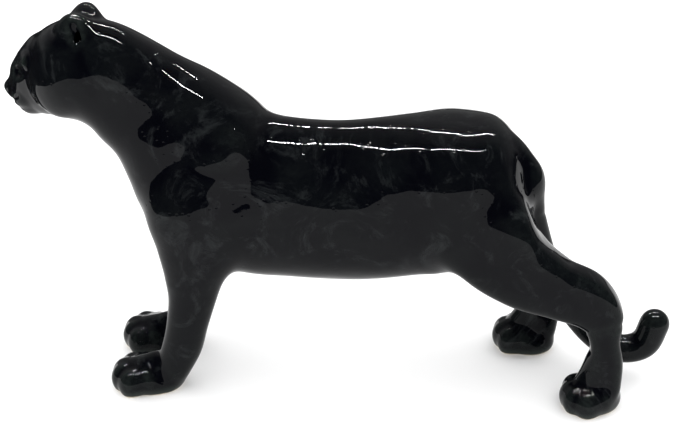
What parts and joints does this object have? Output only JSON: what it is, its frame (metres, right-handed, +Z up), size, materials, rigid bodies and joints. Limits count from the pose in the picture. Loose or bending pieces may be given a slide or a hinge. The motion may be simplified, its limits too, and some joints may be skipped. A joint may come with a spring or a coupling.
{
  "type": "ceramic animal figure",
  "caption": "Glossy black glazed pottery figure of a striding panther, head turned aside, standing on four bare-clay soles with a hanging, upturned tail.",
  "frame": {"origin": "on the surface the figure stands on, below the middle of its bounding box", "axes": "+X towards the tail, the nose points to -X; +Y to the figure's right-hand side; +Z up"},
  "size_m": [0.3421, 0.0872, 0.2007],
  "materials": {
    "glaze": "glossy black glaze over cream clay, bare at the soles"
  },
  "bodies": {
    "root": {"torso": "glaze", "head": "glaze", "left_ear": "glaze", "right_ear": "glaze", "left_foreleg": "glaze", "right_foreleg": "glaze", "left_hind_leg": "glaze", "right_hind_leg": "glaze", "tail": "glaze"}
  },
  "joints": []
}
